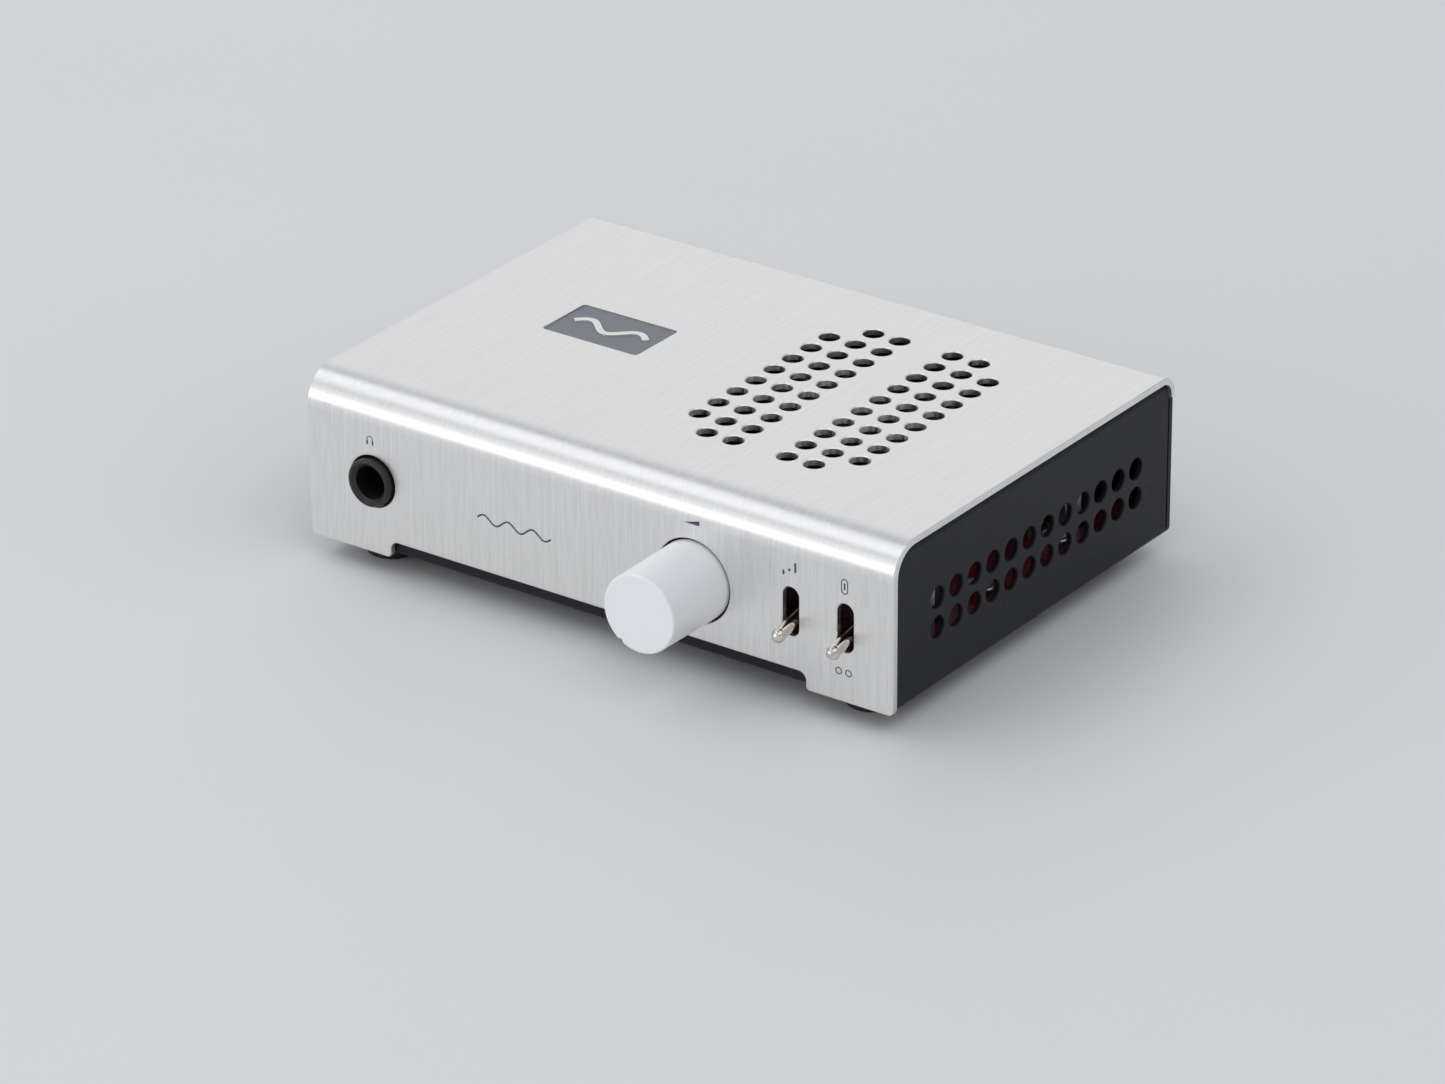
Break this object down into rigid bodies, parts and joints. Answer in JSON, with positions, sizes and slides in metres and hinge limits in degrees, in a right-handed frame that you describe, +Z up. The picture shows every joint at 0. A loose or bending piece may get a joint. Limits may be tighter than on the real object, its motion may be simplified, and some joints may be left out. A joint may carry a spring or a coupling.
{
  "type": "headphone amplifier",
  "caption": "Small desktop headphone amplifier with a bent brushed cover over a dark folded chassis, a round volume knob, toggle levers, a plug socket and rear sockets.",
  "frame": {"origin": "on the table, under the centre of the whole envelope with its knob and rear barrels", "axes": "+X to the right seen from the front, +Y to the back (the knob faces -Y), +Z up"},
  "size_m": [0.127, 0.1142, 0.0358],
  "materials": {
    "brushed_cover": "brushed, clear anodised",
    "dark_steel": "satin charcoal paint",
    "foot_rubber": "matt",
    "zinc_steel": "bright zinc plate",
    "black_screw": "black oxide",
    "red_board": "solder mask on laminate",
    "black_plastic": "moulded",
    "contact_metal": "gold flash",
    "nickel_plate": "satin nickel",
    "polished_nickel": "polished nickel",
    "resistive_track": "carbon film on wafer",
    "turned_aluminium": "turned",
    "knob_finish": "satin pale silver",
    "black_anodised": "black anodised",
    "capacitor_sleeve": "shrink sleeve",
    "relay_case": "moulded cream",
    "film_case": "moulded red",
    "chip_plastic": "moulded epoxy",
    "socket_insert": "moulded, white left and red right"
  },
  "bodies": {
    "case": {"amplifier_chips": "chip_plastic", "board_screws": "zinc_steel", "board_standoffs": "zinc_steel", "chassis": "dark_steel", "cover_pillars": "zinc_steel", "cover_screws": "black_screw", "film_capacitors": "film_case", "gain_switch_bushing": "nickel_plate", "gain_switch_frame": "zinc_steel", "gain_switch_housing": "black_plastic", "gain_switch_pin": "zinc_steel", "headphone_jack_contacts": "contact_metal", "headphone_jack_housing": "black_plastic", "heat_sinks": "black_anodised", "input_socket_contacts": "contact_metal", "input_socket_housing": "black_plastic", "input_socket_inserts": "socket_insert", "input_socket_shells": "nickel_plate", "input_switch_bushing": "nickel_plate", "input_switch_frame": "zinc_steel", "input_switch_housing": "black_plastic", "input_switch_pin": "zinc_steel", "main_board": "red_board", "mute_relays": "relay_case", "power_inlet_housing": "black_plastic", "power_inlet_pin": "nickel_plate", "power_package_bodies": "chip_plastic", "power_package_tabs": "zinc_steel", "power_switch_bushing": "nickel_plate", "power_switch_frame": "zinc_steel", "power_switch_housing": "black_plastic", "power_switch_pin": "zinc_steel", "preout_socket_contacts": "contact_metal", "preout_socket_housing": "black_plastic", "preout_socket_inserts": "socket_insert", "preout_socket_shells": "nickel_plate", "rectifier_diodes": "chip_plastic", "rubber_feet": "foot_rubber", "socket_screws": "black_screw", "supply_capacitors": "capacitor_sleeve", "top_cover": "brushed_cover", "usb_converter": "chip_plastic", "usb_shell": "nickel_plate", "usb_tongue": "black_plastic", "volume_pot_bushing": "nickel_plate", "volume_pot_case": "zinc_steel", "volume_pot_track": "resistive_track"},
    "volume_control": {"volume_knob": "knob_finish", "volume_pot_shaft": "turned_aluminium", "volume_pot_wiper": "contact_metal"},
    "gain_lever": {"gain_switch_lever": "polished_nickel"},
    "input_lever": {"input_switch_lever": "polished_nickel"},
    "power_lever": {"power_switch_lever": "polished_nickel"}
  },
  "joints": [
    {"name": "volume_turn", "type": "hinge", "parent": "case", "child": "volume_control", "pos_m": [0.0213, -0.0413, 0.0182], "axis": [0, 1, 0], "range_deg": [0, 300]},
    {"name": "gain_flip", "type": "hinge", "parent": "case", "child": "gain_lever", "pos_m": [0.0421, -0.0301, 0.0182], "axis": [-1, 0, 0], "range_deg": [0, 24]},
    {"name": "input_flip", "type": "hinge", "parent": "case", "child": "input_lever", "pos_m": [0.0535, -0.0301, 0.0182], "axis": [-1, 0, 0], "range_deg": [0, 24]},
    {"name": "power_flip", "type": "hinge", "parent": "case", "child": "power_lever", "pos_m": [0.03385, 0.0364, 0.0182], "axis": [1, 0, 0], "range_deg": [0, 24]}
  ]
}
